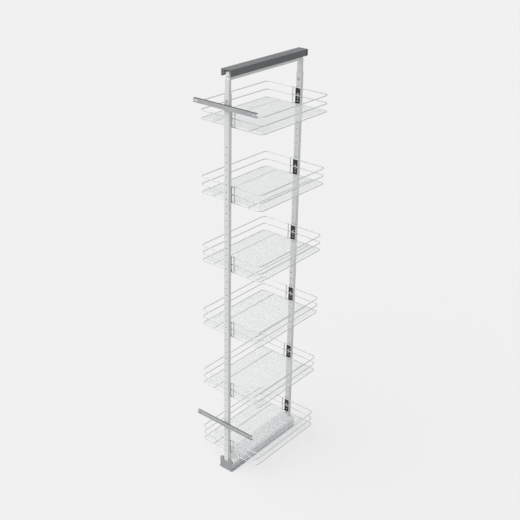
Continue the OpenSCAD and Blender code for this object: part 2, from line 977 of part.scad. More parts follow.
module front_clip(i) {
    color("black")
        translate([0, -inner_y, basket_z(i)])
            clip_shape();
}

module rear_clip(i) {
    color("black")
        translate([0, inner_y, basket_z(i)])
            mirror([0, 1, 0])
                clip_shape();
}

// ---------- baskets ----------

// A closed ring of wire with round corners, centred at z = 0
module wire_ring() {
    straight_x = basket_w - 2 * basket_corner;
    straight_y = 2 * wire_y - 2 * basket_corner;
    for (side = [-1, 1]) {
        translate([0, side * wire_y, 0])
            rod_x(wire_d, straight_x);
        translate([side * basket_w / 2, -straight_y / 2, 0])
            rod_y(wire_d, straight_y);
    }
    for (x = [-1, 1], y = [-1, 1])
        translate([x * straight_x / 2, y * straight_y / 2, 0])
            mirror([x < 0 ? 1 : 0, 0, 0])
                mirror([0, y < 0 ? 1 : 0, 0])
                    rotate_extrude(angle = 90)
                        translate([basket_corner, 0])
                            circle(d = wire_d);
}

module basket(i) {
    hanger_y = wire_y - wire_d + weld;
    color("lightgray")
        translate([0, 0, basket_z(i)]) {
            for (z = [0, ring_mid, ring_top])
                translate([0, 0, z])
                    wire_ring();
            for (x = [-1, 1], y = [-1, 1])
                translate([x * hanger_x, y * hanger_y, -wire_d / 2])
                    cylinder(d = wire_d, h = ring_top + wire_d);
            for (x = [-1, 1])
                translate([x * base_wire_x, -wire_y, 0])
                    rod_y(base_wire_d, 2 * wire_y);
        }
}

// Two layers of thin wires: cross wires on the ring and the base wires, long wires on top
module basket_mesh(i) {
    half_y = wire_y - wire_d - mesh_end_gap;
    half_x = basket_w / 2 - wire_d;
    cross_count = floor(half_y / mesh_pitch);
    long_count = floor(half_x / mesh_pitch);
    cross_z = (wire_d + mesh_wire_d) / 2 + layer_gap;
    long_z = cross_z + mesh_wire_d + layer_gap;
    color("gainsboro")
        translate([0, 0, basket_z(i)]) {
            for (k = [-cross_count:cross_count])
                translate([0, k * mesh_pitch, cross_z])
                    rod_x(mesh_wire_d, basket_w);
            for (k = [-long_count:long_count])
                translate([k * mesh_pitch, -half_y, long_z])
                    rod_y(mesh_wire_d, 2 * half_y);
        }
}

// ---------- the parts, one line each ----------

floor_rail();
rear_stop();
lower_cage();
lower_balls();
middle_runner();
upper_cage();
upper_balls();
top_runner();
bottom_bar();
bar_screws();
front_plate();
runner_cover();
front_foot();
rear_foot();
foot_screws();
front_upright();
rear_upright();
lock_screws();
upper_door_bracket();
lower_door_bracket();
upper_bracket_holder();
lower_bracket_holder();
bracket_screws();
front_clip(0);  // front_clip_1
front_clip(1);  // front_clip_2
front_clip(2);  // front_clip_3
front_clip(3);  // front_clip_4
front_clip(4);  // front_clip_5
front_clip(5);  // front_clip_6
rear_clip(0);  // rear_clip_1
rear_clip(1);  // rear_clip_2
rear_clip(2);  // rear_clip_3
rear_clip(3);  // rear_clip_4
rear_clip(4);  // rear_clip_5
rear_clip(5);  // rear_clip_6
basket(0);  // basket_1
basket(1);  // basket_2
basket(2);  // basket_3
basket(3);  // basket_4
basket(4);  // basket_5
basket(5);  // basket_6
basket_mesh(0);  // basket_mesh_1
basket_mesh(1);  // basket_mesh_2
basket_mesh(2);  // basket_mesh_3
basket_mesh(3);  // basket_mesh_4
basket_mesh(4);  // basket_mesh_5
basket_mesh(5);  // basket_mesh_6
upper_frame();
front_guide_block();
rear_guide_block();
roller_pins();
front_roller();
rear_roller();
top_rail();
rail_end_cap();
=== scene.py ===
# %% [markdown]
# # A pull-out larder unit for a tall kitchen cabinet
# The real unit is a slim frame that runs out of the cabinet on a floor runner and
# carries six wire baskets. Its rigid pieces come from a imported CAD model, so this
# script adds what CAD leaves plain: drawn wire, welds, moulded edges and finishes.
# Everything is in metres, with +Z up and the door at -Y.

# %% Load the frame
import json
import math

import bmesh
import bpy
from mathutils import Matrix, Vector


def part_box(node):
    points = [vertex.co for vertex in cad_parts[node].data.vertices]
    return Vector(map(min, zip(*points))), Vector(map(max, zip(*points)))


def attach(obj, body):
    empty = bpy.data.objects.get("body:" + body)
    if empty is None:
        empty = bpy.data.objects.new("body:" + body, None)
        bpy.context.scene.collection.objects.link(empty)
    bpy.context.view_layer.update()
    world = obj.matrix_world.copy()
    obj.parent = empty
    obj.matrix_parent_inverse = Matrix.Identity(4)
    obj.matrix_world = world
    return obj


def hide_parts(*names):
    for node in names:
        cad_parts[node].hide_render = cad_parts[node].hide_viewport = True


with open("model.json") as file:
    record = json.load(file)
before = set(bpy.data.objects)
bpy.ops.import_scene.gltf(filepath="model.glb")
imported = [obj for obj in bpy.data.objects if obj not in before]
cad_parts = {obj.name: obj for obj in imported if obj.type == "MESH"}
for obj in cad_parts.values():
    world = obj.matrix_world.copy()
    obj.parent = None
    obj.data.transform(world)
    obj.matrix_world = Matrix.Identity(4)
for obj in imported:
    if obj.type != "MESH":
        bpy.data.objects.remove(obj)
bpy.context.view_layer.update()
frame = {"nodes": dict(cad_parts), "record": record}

nodes = frame["nodes"]
slot_of = {s["node"]: s["material_slot"] for s in frame["record"]["subparts"]}

# %% [markdown]
# ## One helper for nodes
# Materials and geometry trees are both made of nodes. One small function adds a node,
# sets its options and fills its inputs. An input is given a value, or the output of
# another node, and then the two are linked. Colours are written as sRGB hex values,
# as a paint chart gives them, and one function turns them to the linear values that
# the renderer works in.

# %% Helpers for nodes and colours
MM = 0.001


def linear(hex_colour):
    """An sRGB hex colour such as 'DADCDC' as linear red, green, blue and 1."""
    parts = [int(hex_colour[i : i + 2], 16) / 255 for i in (0, 2, 4)]
    return [p / 12.92 if p <= 0.04045 else ((p + 0.055) / 1.055) ** 2.4 for p in parts] + [1]


def add_node(tree, kind, inputs=None, **options):
    """Adds a node to tree. inputs maps an input's name or number to a value or an output."""
    made = tree.nodes.new(kind)
    for name, value in options.items():
        setattr(made, name, value)
    for name, value in (inputs or {}).items():
        if isinstance(value, bpy.types.NodeSocket):
            tree.links.new(value, made.inputs[name])
        else:
            made.inputs[name].default_value = value
    return made


print("light grey DADCDC in linear light:", [round(v, 3) for v in linear("DADCDC")[:3]])

# %% [markdown]
# ## Starting a material
# Every finish here is one Principled shader whose plain numbers sit on its own sockets.
# What varies over the surface comes from noise read in object coordinates, in metres,
# so that a pattern's scale can be worked out from a real size in millimetres. Every
# finish needs the same few steps: a noise, a range for it, a mix of two tones, and a
# relief. Each step is one function here, and a finish is then a few lines.

# %% Start a material
def start_material(name, metallic=0.0, ior=1.5):
    """A material with a Principled shader, and its object coordinates."""
    made = bpy.data.materials.new(name)
    made.use_nodes = True
    made.node_tree.nodes.clear()
    tree = made.node_tree
    shader = add_node(tree, "ShaderNodeBsdfPrincipled", {"Metallic": metallic, "IOR": ior})
    add_node(tree, "ShaderNodeOutputMaterial", {"Surface": shader.outputs["BSDF"]})
    place = add_node(tree, "ShaderNodeTexCoord").outputs["Object"]
    return made, tree, shader, place


def waves_per_metre(size_mm):
    """The noise scale whose features are about size_mm across."""
    return 1 / (size_mm * MM)


def noise(tree, place, size_mm, detail=2.0):
    """Noise from 0 to 1, with features about size_mm across."""
    inputs = {"Vector": place, "Scale": waves_per_metre(size_mm), "Detail": detail}
    return add_node(tree, "ShaderNodeTexNoise", inputs).outputs["Fac"]


def stretch(tree, value, bottom, top, low, high):
    """Maps bottom to top onto low to high, and keeps what lies outside at the ends."""
    inputs = {"Value": value, "From Min": bottom, "From Max": top, "To Min": low, "To Max": high}
    return add_node(tree, "ShaderNodeMapRange", inputs).outputs["Result"]


def calculate(tree, operation, *values):
    """The output of a Math node that does operation on values."""
    inputs = dict(enumerate(values))
    return add_node(tree, "ShaderNodeMath", inputs, operation=operation).outputs[0]


def spread(tree, value, low, high):
    """Stretches a noise's middle range, where most of it lies, over low to high."""
    return stretch(tree, value, 0.3, 0.7, low, high)


def mix(tree, share, first, second):
    """A mix of two colours. Each is a hex value or the output of a node."""
    pair = [linear(c) if isinstance(c, str) else c for c in (first, second)]
    inputs = {"Factor": share, 6: pair[0], 7: pair[1]}
    return add_node(tree, "ShaderNodeMix", inputs, data_type="RGBA").outputs[2]


def two_tone(tree, value, first, second):
    """Mixes two colours by a noise."""
    return mix(tree, spread(tree, value, 0, 1), first, second)


def dress(tree, shader, skin, rough, relief, strength, depth_mm):
    """Gives the shader its colour, its roughness, and a relief about depth_mm deep."""
    bump = add_node(
        tree,
        "ShaderNodeBump",
        {"Height": relief, "Strength": strength, "Distance": depth_mm * MM},
    )
    tree.links.new(skin, shader.inputs["Base Color"])
    tree.links.new(rough, shader.inputs["Roughness"])
    tree.links.new(bump.outputs["Normal"], shader.inputs["Normal"])


print("a 0.5 mm grain is noise at scale", waves_per_metre(0.5))

# %% [markdown]
# ## Powder-coated steel
# The uprights, the bent tube and the cover are steel, sprayed with powder and baked.
# The melted powder never lies quite flat: it leaves a faint skin like an orange's, with
# bumps about a millimetre across, and a satin gloss. The bumps are drawn at 1.2 mm so
# that they can show at all, and a slow change of roughness keeps long faces alive.

# %% Powder coats
PEEL_MM = 1.2


def powder_coat(name, colour, shade, roughness):
    """Baked powder on steel: two close tones, satin gloss and orange peel."""
    made, tree, shader, place = start_material(name)
    cloud = noise(tree, place, 140, detail=3.0)
    peel = noise(tree, place, PEEL_MM)
    rough = spread(tree, cloud, roughness - 0.05, roughness + 0.05)
    dress(tree, shader, two_tone(tree, cloud, colour, shade), rough, peel, 0.25, 0.05)
    return made


finishes = {
    "light_coat": powder_coat("light grey powder coat", "DADCDC", "D5D7D7", 0.42),
    "white_coat": powder_coat("white powder coat", "F5F5F5", "F0F0F1", 0.45),
    "dark_rail": powder_coat("anthracite powder coat with painted light inside", "5B5E60", "54575A", 0.40),
}
print("powder coats:", [m.name for m in finishes.values()])

# %% [markdown]
# The mouth of the top rail shows its inside, and the faces in there get a paler grey than
# the outside: painted light, standing in for light that reaches into the channel. The
# likely cause, which is a guess, is that powder hardly reaches into a deep channel, so the
# coat is thin there. The rail is one mesh, so its own finish has to tell inside from
# outside. A point is inside where it is behind the middle of the wall on three sides, and
# the CAD box of the rail says where those are.

# %% Painted light inside the top rail
RAIL_WALL = 1.5 * MM
rail_low, rail_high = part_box("top_rail")


def painted_light_inside(made, low, high, wall, painted_inside_tone):
    """Paints light inside the channel: points there get a paler colour mixed into the coat."""
    tree = made.node_tree
    shader = next(n for n in tree.nodes if n.type == "BSDF_PRINCIPLED")
    place = add_node(tree, "ShaderNodeTexCoord").outputs["Object"]
    axes = add_node(tree, "ShaderNodeSeparateXYZ", {"Vector": place}).outputs
    aside = calculate(tree, "ABSOLUTE", axes["X"])
    tests = [
        (aside, "LESS_THAN", high[0] - wall / 2),
        (axes["Z"], "LESS_THAN", high[2] - wall / 2),
        (axes["Z"], "GREATER_THAN", low[2] + wall / 2),
    ]
    inside = 1.0
    for value, operation, limit in tests:
        passed = calculate(tree, operation, value, limit)
        inside = calculate(tree, "MULTIPLY", inside, passed)
    outer = shader.inputs["Base Color"].links[0].from_socket
    tree.links.new(mix(tree, inside, outer, painted_inside_tone), shader.inputs["Base Color"])


# painted light: a paler grey on the faces inside the rail
painted_light_inside(finishes["dark_rail"], rail_low, rail_high, RAIL_WALL, "A4A6A7")
print("rail walls at", round(rail_high[0], 4), "and", round(rail_high[2], 4))

# %% [markdown]
# ## Rolled and plated steel
# The runner is roll-formed from zinc-plated strip. Rolling draws fine lines along the
# strip, and the plating turns them into a soft, streaky shine. The streaks are noise
# that is squeezed across the strip and stretched along it, which needs one Mapping node.
# The runner's strip lies along Y and the door brackets' lies along X. The brackets' top
# flanges get painted shade: their faces that look up are given a darker colour, the upper
# bracket's darker still, and so each bracket has a finish of its own. On the real unit
# both are most likely the same strip, seen in different light.

# %% Plated strip
UNSCALED_MM = 1000  # gives noise at scale 1, for coordinates that are already scaled


def painted_shade_on_top(tree, skin, painted_top_shade):
    """Paints shade on the faces that look up, which get a darker colour."""
    facing = add_node(tree, "ShaderNodeNewGeometry").outputs["True Normal"]
    up = add_node(tree, "ShaderNodeSeparateXYZ", {"Vector": facing}).outputs["Z"]
    return mix(tree, stretch(tree, up, 0.4, 0.9, 0, 1), skin, painted_top_shade)


def plated_strip(
    name, colour, shade, roughness, along, line_mm=1.5, run_mm=90, metallic=1.0, painted_top_shade=None
):
    """Zinc on rolled steel: streaks along one axis in gloss and relief, and blooms of colour.

    The last colour, where given, is painted shade on the faces that look up.
    """
    made, tree, shader, place = start_material(name, metallic=metallic)
    scale = [waves_per_metre(line_mm)] * 3
    scale["XYZ".index(along)] = waves_per_metre(run_mm)
    drawn = add_node(tree, "ShaderNodeMapping", {"Vector": place, "Scale": scale})
    lines = noise(tree, drawn.outputs["Vector"], UNSCALED_MM, detail=3.0)
    blooms = noise(tree, place, 30)
    rough = spread(tree, lines, roughness - 0.06, roughness + 0.06)
    skin = two_tone(tree, blooms, colour, shade)
    if painted_top_shade:
        skin = painted_shade_on_top(tree, skin, painted_top_shade)
    dress(tree, shader, skin, rough, lines, 0.3, 0.03)
    return made


finishes["zinc_steel"] = plated_strip(
    "zinc-plated runner strip", "D6D8DA", "CBCED0", 0.48, "Y", metallic=0.65
)
# painted shade: a dark grey on the upper bracket's faces that look up
finishes["galvanised"] = plated_strip(
    "zinc-plated bracket strip with painted shade on top", "BABCBD", "B0B2B4", 0.45, "X", painted_top_shade="494B4D"
)
# painted shade: a lighter grey on the lower bracket's faces that look up
low_bracket_painted_shade_strip = plated_strip(
    "zinc-plated low bracket strip", "BABCBD", "B0B2B4", 0.45, "X", painted_top_shade="979999"
)
finishes["screw_zinc"] = plated_strip(
    "zinc-plated screw steel", "B8BAB8", "A5A7A5", 0.35, "Y", line_mm=0.6, run_mm=6
)
plated = [finishes[k] for k in ("zinc_steel", "galvanised", "screw_zinc")] + [low_bracket_painted_shade_strip]
print("plated finishes:", [m.name for m in plated])

# %% [markdown]
# ## Cast zinc, wire and balls
# The plate with the two round lugs looks cast and tumbled, so it has no direction: it is
# an even matt grey with a skin of tiny dents, drawn here at 0.8 mm. The same kind of
# skin, with wider and flatter dents, makes the plated wires and the runner's balls. The
# thin mesh wires get a paler and softer finish than the thick ones, so that they look
# even. The paler colour is painted light, a lighter copy of the thick wires' grey. Their
# plating is probably the same.

# %% Tumbled zinc, drawn wire and polished balls
def dented_metal(name, colour, shade, roughness, dent_mm, depth_mm, metallic=1.0):
    """A metal skin with no direction: small dents and a slight cloudiness."""
    made, tree, shader, place = start_material(name, metallic=metallic)
    dents = noise(tree, place, dent_mm, detail=3.0)
    cloud = noise(tree, place, 25)
    rough = spread(tree, cloud, roughness - 0.04, roughness + 0.04)
    dress(tree, shader, two_tone(tree, cloud, colour, shade), rough, dents, 0.3, depth_mm)
    return made


finishes["cast_zinc"] = dented_metal("tumbled zinc", "B1B3B3", "A7A9A9", 0.5, 0.8, 0.05)
finishes["plated_wire"] = dented_metal("satin plated wire", "CED0D1", "C6C8CA", 0.52, 3, 0.02)
# painted light: the mesh wires get a paler copy of the wire's grey
painted_pale_mesh_wire = dented_metal("satin plated mesh wire, painted paler", "E8EAEB", "E2E4E5", 0.6, 2, 0.01, metallic=0.5)
finishes["ball_steel"] = dented_metal("polished ball steel", "D5D6D8", "CFD0D2", 0.1, 2, 0.004)
metals = [finishes[k] for k in ("cast_zinc", "plated_wire", "ball_steel")] + [painted_pale_mesh_wire]
print("metals with no direction:", [m.name for m in metals])

# %% [markdown]
# ## Moulded plastics
# The clips, the buffer and the rail's end cap are black glass-filled nylon, and the
# holders behind the door brackets are grey. They come straight from a spark-eroded mould,
# so they have a fine even grain about 0.4 mm across. The guide blocks and their rollers
# are white nylon, which is a little smoother.

# %% Moulded plastics
def moulded(name, colour, shade, roughness):
    """A plastic with the grain of its mould."""
    made, tree, shader, place = start_material(name, ior=1.53)
    grain = noise(tree, place, 0.4)
    cloud = noise(tree, place, 12)
    rough = spread(tree, cloud, roughness - 0.04, roughness + 0.04)
    dress(tree, shader, two_tone(tree, cloud, colour, shade), rough, grain, 0.35, 0.04)
    return made


finishes["black_plastic"] = moulded("black moulded nylon", "131415", "1A1B1C", 0.5)
finishes["grey_plastic"] = moulded("grey moulded nylon", "7D7F81", "76787A", 0.5)
finishes["nylon"] = moulded("white nylon", "F0F0EF", "EAEAE8", 0.38)
print("plastics:", [finishes[k].name for k in ("black_plastic", "grey_plastic", "nylon")])

# %% [markdown]
# ## Finishing the CAD pieces
# The record that comes with the CAD model names a finish for every node, which it calls
# a slot. So one loop dresses them all, and the lower door bracket then gets its own, with
# a lighter painted shade on its top.

# %% Put each finish on the CAD nodes that have its slot
for name, node_object in nodes.items():
    node_object.data.materials.clear()
    node_object.data.materials.append(finishes[slot_of[name]])
nodes["lower_door_bracket"].data.materials[0] = low_bracket_painted_shade_strip
print("finished CAD nodes:", len(nodes))

# %% [markdown]
# ## What two geometry trees share
# The baskets are wire, and two geometry trees make it. Both start with named inputs,
# both sweep a circle along a path, and both end in the same way: their instances are
# realized, shaded smooth and given a finish. These steps are three functions.

# %% Shared steps of the trees
def start_tree(name, inputs, output):
    """An empty tree with the inputs, each a name and a kind, and one geometry output."""
    tree = bpy.data.node_groups.new(name, "GeometryNodeTree")
    for label, kind in inputs:
        tree.interface.new_socket(label, in_out="INPUT", socket_type="NodeSocket" + kind)
    tree.interface.new_socket(output, in_out="OUTPUT", socket_type="NodeSocketGeometry")
    return tree, add_node(tree, "NodeGroupInput").outputs


def sweep(tree, path, radius, sides):
    """Round wire with the given number of sides along a path, closed at its ends."""
    section = add_node(
        tree, "GeometryNodeCurvePrimitiveCircle", {"Resolution": sides, "Radius": radius}
    )
    swept = add_node(
        tree,
        "GeometryNodeCurveToMesh",
        {"Curve": path, "Profile Curve": section.outputs["Curve"], "Fill Caps": True},
    )
    return swept.outputs["Mesh"]


def end_tree(tree, geometry, finish):
    """Realizes, smooths and coats the geometry, and gives it out."""
    real = add_node(tree, "GeometryNodeRealizeInstances", {"Geometry": geometry})
    smooth = add_node(
        tree, "GeometryNodeSetShadeSmooth", {"Geometry": real.outputs["Geometry"]}
    )
    coated = add_node(
        tree,
        "GeometryNodeSetMaterial",
        {"Geometry": smooth.outputs["Geometry"], "Material": finish},
    )
    add_node(tree, "NodeGroupOutput", {0: coated.outputs["Geometry"]})


def input_names(tree):
    """Each input's name and the identifier that a modifier knows it by."""
    return {s.name: s.identifier for s in tree.interface.items_tree if s.in_out == "INPUT"}


print("shared steps:", [f.__name__ for f in (start_tree, sweep, end_tree)])

# %% [markdown]
# ## Bent wire as a geometry tree
# A basket's frame is wire of one thickness: three rings with round corners, four
# upright hangers and two base wires. It could be made of cylinders and quarter rings,
# but one rule says it all: a line, its corners rounded, with a circle swept along it.
# So the tree takes plain sharp lines, and its named inputs are the real sizes. A second
# branch sets a small round bead of weld on each loose point it is given. A bead is a
# little thicker than the wire, so it shows as a swelling where two wires are joined.

# %% The bent-wire tree
BEND_STEPS = 9
WIRE_SIDES = 14


def bent_wire_tree():
    """Sharp lines in; round wire with round corners out, and a bead on each loose point."""
    inputs = [
        ("Lines", "Geometry"),
        ("Wire radius", "Float"),
        ("Corner radius", "Float"),
        ("Weld radius", "Float"),
        ("Finish", "Material"),
    ]
    tree, given = start_tree("bent wire", inputs, "Wire")
    path = add_node(tree, "GeometryNodeMeshToCurve", {"Mesh": given["Lines"]})
    rounded = add_node(
        tree,
        "GeometryNodeFilletCurve",
        {"Curve": path.outputs["Curve"], "Count": BEND_STEPS, "Radius": given["Corner radius"]},
        mode="POLY",
    )
    swept = sweep(tree, rounded.outputs["Curve"], given["Wire radius"], WIRE_SIDES)
    used = add_node(tree, "GeometryNodeInputMeshVertexNeighbors")
    loose = add_node(
        tree,
        "FunctionNodeCompare",
        {2: used.outputs["Vertex Count"], 3: 0},
        data_type="INT",
        operation="EQUAL",
    )
    points = add_node(
        tree,
        "GeometryNodeMeshToPoints",
        {"Mesh": given["Lines"], "Selection": loose.outputs["Result"]},
    )
    bead = add_node(
        tree,
        "GeometryNodeMeshIcoSphere",
        {"Radius": given["Weld radius"], "Subdivisions": 2},
    )
    beads = add_node(
        tree,
        "GeometryNodeInstanceOnPoints",
        {"Points": points.outputs["Points"], "Instance": bead.outputs["Mesh"]},
    )
    joined = add_node(tree, "GeometryNodeJoinGeometry")
    tree.links.new(beads.outputs["Instances"], joined.inputs[0])
    tree.links.new(swept, joined.inputs[0])
    end_tree(tree, joined.outputs["Geometry"], given["Finish"])
    return tree


bent_wire = bent_wire_tree()
print("inputs of the tree:", list(input_names(bent_wire)))

# %% [markdown]
# ## Running a tree
# A modifier runs the tree on an object. Its inputs are set by each socket's identifier
# before anything is evaluated. The evaluated result is then kept as a plain mesh at the
# origin, the modifier goes, and the piece is ready to ride on its body.

# %% Run a tree and keep its mesh
def grow(name, lines, tree, **values):
    """An object with the mesh that tree makes from lines. values fill its named inputs."""
    seed = bpy.data.objects.new(name + "_lines", lines)
    bpy.context.collection.objects.link(seed)
    modifier = seed.modifiers.new("tree", "NODES")
    modifier.node_group = tree
    names = input_names(tree)
    for label, value in values.items():
        modifier[names[label.replace("_", " ").capitalize()]] = value
    shown = seed.evaluated_get(bpy.context.evaluated_depsgraph_get())
    mesh = bpy.data.meshes.new_from_object(shown)
    bpy.data.objects.remove(seed)
    piece = bpy.data.objects.new(name, mesh)
    bpy.context.collection.objects.link(piece)
    return piece


def line_mesh(name, chains, points=()):
    """A mesh of plain lines. Each chain is its corners and whether it closes."""
    corners, edges = [], []
    for chain, closed in chains:
        first = len(corners)
        corners += chain
        edges += [(first + i, first + i + 1) for i in range(len(chain) - 1)]
        if closed:
            edges.append((len(corners) - 1, first))
    corners += points
    mesh = bpy.data.meshes.new(name)
    mesh.from_pydata(corners, edges, [])
    return mesh


square_line = line_mesh("trial line", [([(0, 0, 0), (1, 0, 0), (1, 1, 0), (0, 1, 0)], True)])
print("edges of a closed square line:", len(square_line.edges))
bpy.data.meshes.remove(square_line)

# %% [markdown]
# ## The six baskets
# A CAD basket gives the outside of its rings. Their middle lines lie half a wire inside
# that. The rings are 35.5 mm apart, and the hangers are welded to the inside of the
# rings' end wires, so that the rings stay free to sit in the clips.

# %% Bend the baskets' wires
wire = 4.0 * MM
base_wire = 3.4 * MM
ring_step = 35.5 * MM
ring_heights = [0.0, ring_step, 2 * ring_step]
corner_radius = 20 * MM
hanger_x = 22 * MM
base_wire_x = 96 * MM
weld_sink = 0.4 * MM
weld_radius = 2.1 * MM


def basket_frame(number):
    """One basket's bent and welded wire, in the place of its CAD node."""
    low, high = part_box(f"basket_{number}")
    half_x = high[0] - wire / 2
    half_y = high[1] - wire / 2
    floor_z = low[2] + wire / 2
    square = ((-1, -1), (1, -1), (1, 1), (-1, 1))
    rings = [
        ([Vector((x * half_x, y * half_y, floor_z + h)) for x, y in square], True)
        for h in ring_heights
    ]
    hanger_y = half_y - wire + weld_sink
    hangers = [
        ([Vector((x, y, low[2])), Vector((x, y, high[2]))], False)
        for x in (-hanger_x, hanger_x)
        for y in (-hanger_y, hanger_y)
    ]
    beads = [
        Vector((x, side * (half_y - wire / 2), floor_z + h))
        for x in (-hanger_x, hanger_x)
        for side in (-1, 1)
        for h in ring_heights
    ]
    lines = line_mesh(f"basket lines {number}", rings + hangers, beads)
    piece = grow(
        f"basket_wires_{number}",
        lines,
        bent_wire,
        wire_radius=wire / 2,
        corner_radius=corner_radius,
        weld_radius=weld_radius,
        finish=finishes["plated_wire"],
    )
    base_lines = line_mesh(
        f"base lines {number}",
        [
            ([Vector((x, -half_y, floor_z)), Vector((x, half_y, floor_z))], False)
            for x in (-base_wire_x, base_wire_x)
        ],
    )
    base = grow(
        f"base_wires_{number}",
        base_lines,
        bent_wire,
        wire_radius=base_wire / 2,
        corner_radius=0.0,
        weld_radius=0.0,
        finish=finishes["plated_wire"],
    )
    for made in (piece, base):
        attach(made, "carriage")
        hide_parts(f"basket_{number}")
    return piece


baskets = [basket_frame(n) for n in range(1, 7)]
print("faces in one basket frame:", len(baskets[0].data.polygons))

# %% [markdown]
# ## The mesh of a basket's floor
# The floor is two layers of thin wire, crosswise and lengthwise, welded where they
# cross. Nearly seventy wires a basket are one wire repeated, so a tree makes a row of
# them: a line of points, with one straight wire set on each.

# %% The wire-row tree
THIN_WIRE_SIDES = 8


def wire_row_tree():
    """A row of equal straight wires: its count, pitch, length and thickness are inputs."""
    inputs = [
        ("Lines", "Geometry"),  # a modifier hands its mesh in here, and the row needs none
        ("Count", "Int"),
        ("Start", "Vector"),
        ("Step", "Vector"),
        ("Wire end", "Vector"),
        ("Wire radius", "Float"),
        ("Finish", "Material"),
    ]
    tree, given = start_tree("wire row", inputs, "Wires")
    row = add_node(
        tree,
        "GeometryNodeMeshLine",
        {"Count": given["Count"], "Start Location": given["Start"], "Offset": given["Step"]},
    )
    other_end = add_node(
        tree, "ShaderNodeVectorMath", {0: given["Wire end"], 1: (-1, -1, -1)}, operation="MULTIPLY"
    )
    path = add_node(
        tree,
        "GeometryNodeCurvePrimitiveLine",
        {"Start": other_end.outputs["Vector"], "End": given["Wire end"]},
    )
    one = sweep(tree, path.outputs["Curve"], given["Wire radius"], THIN_WIRE_SIDES)
    laid = add_node(
        tree, "GeometryNodeInstanceOnPoints", {"Points": row.outputs["Mesh"], "Instance": one}
    )
    end_tree(tree, laid.outputs["Instances"], given["Finish"])
    return tree


wire_row = wire_row_tree()
print("inputs of the tree:", list(input_names(wire_row)))

# %% [markdown]
# The mesh is 1.4 mm wire at a pitch of 11 mm, which is the CAD's too. Each layer is one
# row, centred in the basket, with as many wires as fit. The CAD box of the node says how
# high each layer lies.

# %% Lay the two layers in each basket
mesh_wire = 1.4 * MM
mesh_pitch = 11 * MM


def lay_row(name, number, across, half_row, half_wire, z):
    """Wires along X if across, else along Y, spaced over the other direction."""
    count = 2 * int(half_row / mesh_pitch) + 1
    reach = (count - 1) / 2 * mesh_pitch
    along = Vector((0, 1, 0)) if across else Vector((1, 0, 0))
    run = Vector((half_wire, 0, 0)) if across else Vector((0, half_wire, 0))
    piece = grow(
        f"{name}_{number}",
        line_mesh(f"{name} {number}", []),
        wire_row,
        count=count,
        start=Vector((0, 0, z)) - along * reach,
        step=along * mesh_pitch,
        wire_end=run,
        wire_radius=mesh_wire / 2,
        finish=painted_pale_mesh_wire,
    )
    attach(piece, "carriage")
    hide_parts(f"basket_mesh_{number}")
    return piece


def basket_floor(number):
    """Both layers of one basket's floor, in the place of its CAD node."""
    low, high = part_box(f"basket_mesh_{number}")
    half_x, half_y = high[0], high[1]
    cross = lay_row("cross_wires", number, True, half_y, half_x, low[2] + mesh_wire / 2)
    long = lay_row("long_wires", number, False, half_x - wire, half_y, high[2] - mesh_wire / 2)
    return cross, long


floors = [basket_floor(n) for n in range(1, 7)]
print("faces in one floor:", sum(len(p.data.polygons) for p in floors[0]))

# %% [markdown]
# ## Moulded edges
# A mould can't make a knife edge, so every edge of a real clip is a little round and
# catches a thin line of light. The CAD clip has the right shape with sharp edges. Its
# triangles are merged back into flat faces, and a narrow bevel rounds each corner.

# %% Round the clips' edges
SAME_POINT = 0.002 * MM
FLAT_ANGLE = math.radians(1)
BEVEL_ANGLE = math.radians(40)
CREASE_ANGLE = math.radians(35)


def soften(node_name, piece_name, body, width):
    """A copy of a CAD node with rounded edges, which stands in its place."""
    mesh = nodes[node_name].data.copy()
    form = bmesh.new()
    form.from_mesh(mesh)
    bmesh.ops.remove_doubles(form, verts=form.verts, dist=SAME_POINT)
    bmesh.ops.dissolve_limit(form, angle_limit=FLAT_ANGLE, verts=form.verts, edges=form.edges)
    form.to_mesh(mesh)
    form.free()
    piece = bpy.data.objects.new(piece_name, mesh)
    bpy.context.collection.objects.link(piece)
    bevel = piece.modifiers.new("edges", "BEVEL")
    bevel.width = width
    bevel.segments = 2
    bevel.limit_method = "ANGLE"
    bevel.angle_limit = BEVEL_ANGLE
    bevel.use_clamp_overlap = True
    rounded = piece.evaluated_get(bpy.context.evaluated_depsgraph_get())
    piece.data = bpy.data.meshes.new_from_object(rounded)
    piece.modifiers.clear()
    piece.data.shade_smooth()
    piece.data.set_sharp_from_angle(angle=CREASE_ANGLE)
    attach(piece, body)
    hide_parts(node_name)
    return piece


clips = [
    soften(f"{end}_clip_{n}", f"clip_{end}_{n}", "carriage", 0.35 * MM)
    for end in ("front", "rear")
    for n in range(1, 7)
]
print("clips:", len(clips), "faces in one:", len(clips[0].data.polygons))

# %% [markdown]
# The other moulded and cast pieces get the same treatment: the plate with its lugs, the
# blocks behind the door brackets, the forks of the guide rollers and the rail's cap.

# %% Round the other moulded and cast pieces
rounded = [
    soften("front_plate", "cast_front_plate", "carriage", 0.5 * MM),
    soften("upper_bracket_holder", "upper_holder_block", "carriage", 0.5 * MM),
    soften("lower_bracket_holder", "lower_holder_block", "carriage", 0.5 * MM),
    soften("front_guide_block", "front_roller_fork", "telescope", 0.6 * MM),
    soften("rear_guide_block", "rear_roller_fork", "telescope", 0.6 * MM),
    soften("rail_end_cap", "rear_rail_cap", "top_guide", 0.4 * MM),
]
print("rounded:", [p.name for p in rounded])

# %% [markdown]
# ## Floor and world
# The photograph is a plain catalogue picture: one even pale tone behind and below. The
# world gives that tone to the camera, and to whatever mirrors it, such as metal. What
# lights the object is a weaker white dome. The floor is a real diffuse plane in the same
# tone, so it catches the unit's shadow. Part of what the camera sees of it is plain
# tone, which keeps that shadow as faint as the photograph's.

# %% Floor and world
GROUND = "F0F0F0"
DOME = 0.41
SHADOW_KEPT = 0.25
FLOOR_SIZE = 60


